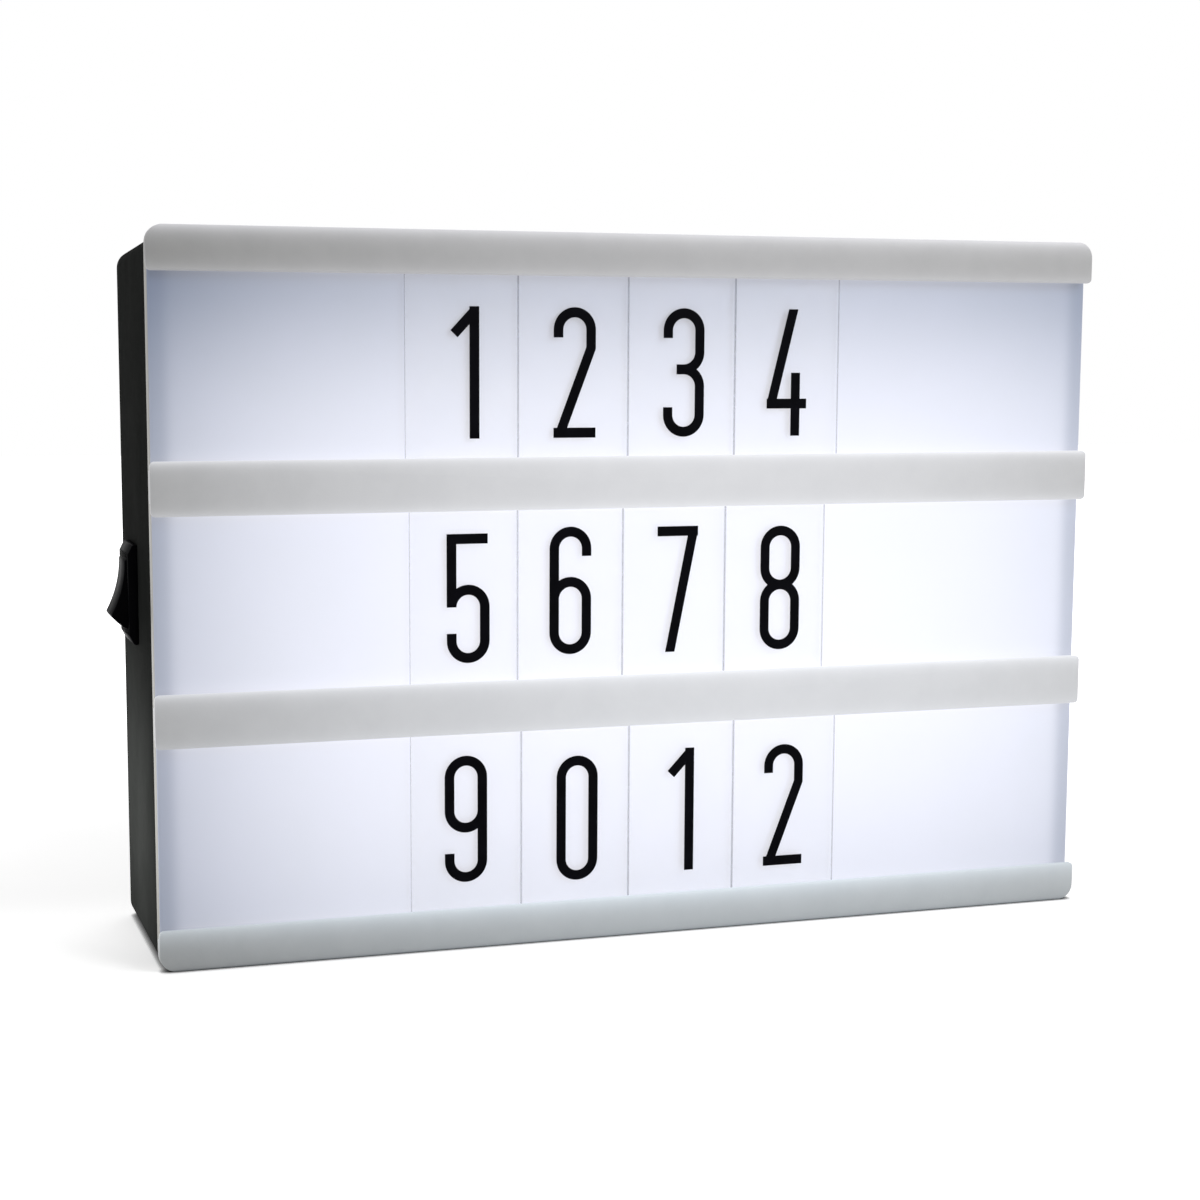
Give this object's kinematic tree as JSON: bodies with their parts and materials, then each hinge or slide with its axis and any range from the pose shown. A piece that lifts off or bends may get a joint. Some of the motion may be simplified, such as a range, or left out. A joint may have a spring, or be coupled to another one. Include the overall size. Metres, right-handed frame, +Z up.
{
  "type": "cinema light box",
  "caption": "Slim lit sign box that stands on its base: opal front with rails for clear tiles, black case, rocker switch in its side, cells behind a back door.",
  "frame": {"origin": "middle of the base, halfway between the rails' front faces and the back", "axes": "+X to the right seen from the front, +Y from the front to the back, +Z up"},
  "size_m": [0.2152, 0.054, 0.1495],
  "materials": {
    "case_black": "fine-textured black moulding",
    "shell_opal": "opal white moulding, lit from behind",
    "rail_grey": "satin white moulding, opaque",
    "tile_clear": "clear sheet with one printed digit",
    "switch_black": "smooth black moulding",
    "contact_brass": "bright stamped strip",
    "contact_copper": "bright stamped strip",
    "spring_steel": "nickel plated",
    "cell_jacket": "printed sleeve over a steel can",
    "reflector_white": "white card-like sheet",
    "board_white": "white lacquered board",
    "lamp_yellow": "phosphor under clear resin",
    "resistor_black": "small moulded chip",
    "inlet_black": "plain moulding",
    "screw_steel": "zinc plated",
    "wire_red": "soft sleeve",
    "wire_black": "soft sleeve"
  },
  "bodies": {
    "box": {"rear_case": "case_black", "front_shell": "shell_opal", "rail_top": "rail_grey", "rail_upper": "rail_grey", "rail_lower": "rail_grey", "rail_bottom": "rail_grey", "switch_housing": "switch_black", "pivot_terminal": "contact_brass", "contact_terminal": "contact_brass", "cell_lower": "cell_jacket", "cell_middle": "cell_jacket", "cell_upper": "cell_jacket", "contact_plates_left": "spring_steel", "contact_plates_right": "spring_steel", "contact_springs": "spring_steel", "reflector_sheet": "reflector_white", "light_board_upper": "board_white", "light_board_lower": "board_white", "lamps_upper": "lamp_yellow", "lamps_lower": "lamp_yellow", "resistors": "resistor_black", "power_inlet": "inlet_black", "inlet_pin": "contact_brass", "case_screws": "screw_steel", "wire_cells_to_switch": "wire_red", "wire_switch_to_board": "wire_red", "wire_board_link_left": "wire_red", "wire_board_link_right": "wire_black", "wire_cells_to_board": "wire_black", "wire_inlet_plus": "wire_red", "wire_inlet_minus": "wire_black"},
    "battery_door": {"battery_door": "case_black"},
    "rocker": {"switch_rocker": "switch_black", "switch_plunger": "contact_brass", "plunger_spring": "spring_steel"},
    "contact_lever": {"contact_lever": "contact_copper"},
    "tile_top_1": {"tile_top_1": "tile_clear"},
    "tile_top_2": {"tile_top_2": "tile_clear"},
    "tile_top_3": {"tile_top_3": "tile_clear"},
    "tile_top_4": {"tile_top_4": "tile_clear"},
    "tile_middle_1": {"tile_middle_1": "tile_clear"},
    "tile_middle_2": {"tile_middle_2": "tile_clear"},
    "tile_middle_3": {"tile_middle_3": "tile_clear"},
    "tile_middle_4": {"tile_middle_4": "tile_clear"},
    "tile_bottom_1": {"tile_bottom_1": "tile_clear"},
    "tile_bottom_2": {"tile_bottom_2": "tile_clear"},
    "tile_bottom_3": {"tile_bottom_3": "tile_clear"},
    "tile_bottom_4": {"tile_bottom_4": "tile_clear"}
  },
  "joints": [
    {"name": "rocker_tilt", "type": "hinge", "parent": "box", "child": "rocker", "pos_m": [-0.10264, 0.00645, 0.0744], "axis": [-0.0312, -0.9995, 0], "range_deg": [0, 28.8]},
    {"name": "lever_tilt", "type": "hinge", "parent": "box", "child": "contact_lever", "pos_m": [-0.0945, 0.0062, 0.0744], "axis": [-0.0312, -0.9995, 0], "range_deg": [-16, 0]},
    {"name": "battery_door_swing", "type": "hinge", "parent": "box", "child": "battery_door", "pos_m": [0, 0.0255, 0.0568], "axis": [1, 0, 0], "range_deg": [0, 95]},
    {"name": "tile_top_1_slide", "type": "slide", "parent": "box", "child": "tile_top_1", "axis": [1, 0, 0], "range_m": [-0.076, 0]},
    {"name": "tile_top_2_slide", "type": "slide", "parent": "box", "child": "tile_top_2", "axis": [1, 0, 0], "range_m": [-0.076, 0]},
    {"name": "tile_top_3_slide", "type": "slide", "parent": "box", "child": "tile_top_3", "axis": [1, 0, 0], "range_m": [0, 0.085]},
    {"name": "tile_top_4_slide", "type": "slide", "parent": "box", "child": "tile_top_4", "axis": [1, 0, 0], "range_m": [0, 0.085]},
    {"name": "tile_middle_1_slide", "type": "slide", "parent": "box", "child": "tile_middle_1", "axis": [1, 0, 0], "range_m": [-0.076, 0]},
    {"name": "tile_middle_2_slide", "type": "slide", "parent": "box", "child": "tile_middle_2", "axis": [1, 0, 0], "range_m": [-0.076, 0]},
    {"name": "tile_middle_3_slide", "type": "slide", "parent": "box", "child": "tile_middle_3", "axis": [1, 0, 0], "range_m": [0, 0.0865]},
    {"name": "tile_middle_4_slide", "type": "slide", "parent": "box", "child": "tile_middle_4", "axis": [1, 0, 0], "range_m": [0, 0.0865]},
    {"name": "tile_bottom_1_slide", "type": "slide", "parent": "box", "child": "tile_bottom_1", "axis": [1, 0, 0], "range_m": [-0.0765, 0]},
    {"name": "tile_bottom_2_slide", "type": "slide", "parent": "box", "child": "tile_bottom_2", "axis": [1, 0, 0], "range_m": [-0.0765, 0]},
    {"name": "tile_bottom_3_slide", "type": "slide", "parent": "box", "child": "tile_bottom_3", "axis": [1, 0, 0], "range_m": [0, 0.084]},
    {"name": "tile_bottom_4_slide", "type": "slide", "parent": "box", "child": "tile_bottom_4", "axis": [1, 0, 0], "range_m": [0, 0.084]}
  ],
  "couplings": [
    {"joint": "lever_tilt", "follows": "rocker_tilt", "ratio": -0.55556},
    {"joint": "tile_top_2_slide", "follows": "tile_top_1_slide", "ratio": 1},
    {"joint": "tile_top_3_slide", "follows": "tile_top_4_slide", "ratio": 1},
    {"joint": "tile_middle_2_slide", "follows": "tile_middle_1_slide", "ratio": 1},
    {"joint": "tile_middle_3_slide", "follows": "tile_middle_4_slide", "ratio": 1},
    {"joint": "tile_bottom_2_slide", "follows": "tile_bottom_1_slide", "ratio": 1},
    {"joint": "tile_bottom_3_slide", "follows": "tile_bottom_4_slide", "ratio": 1}
  ]
}
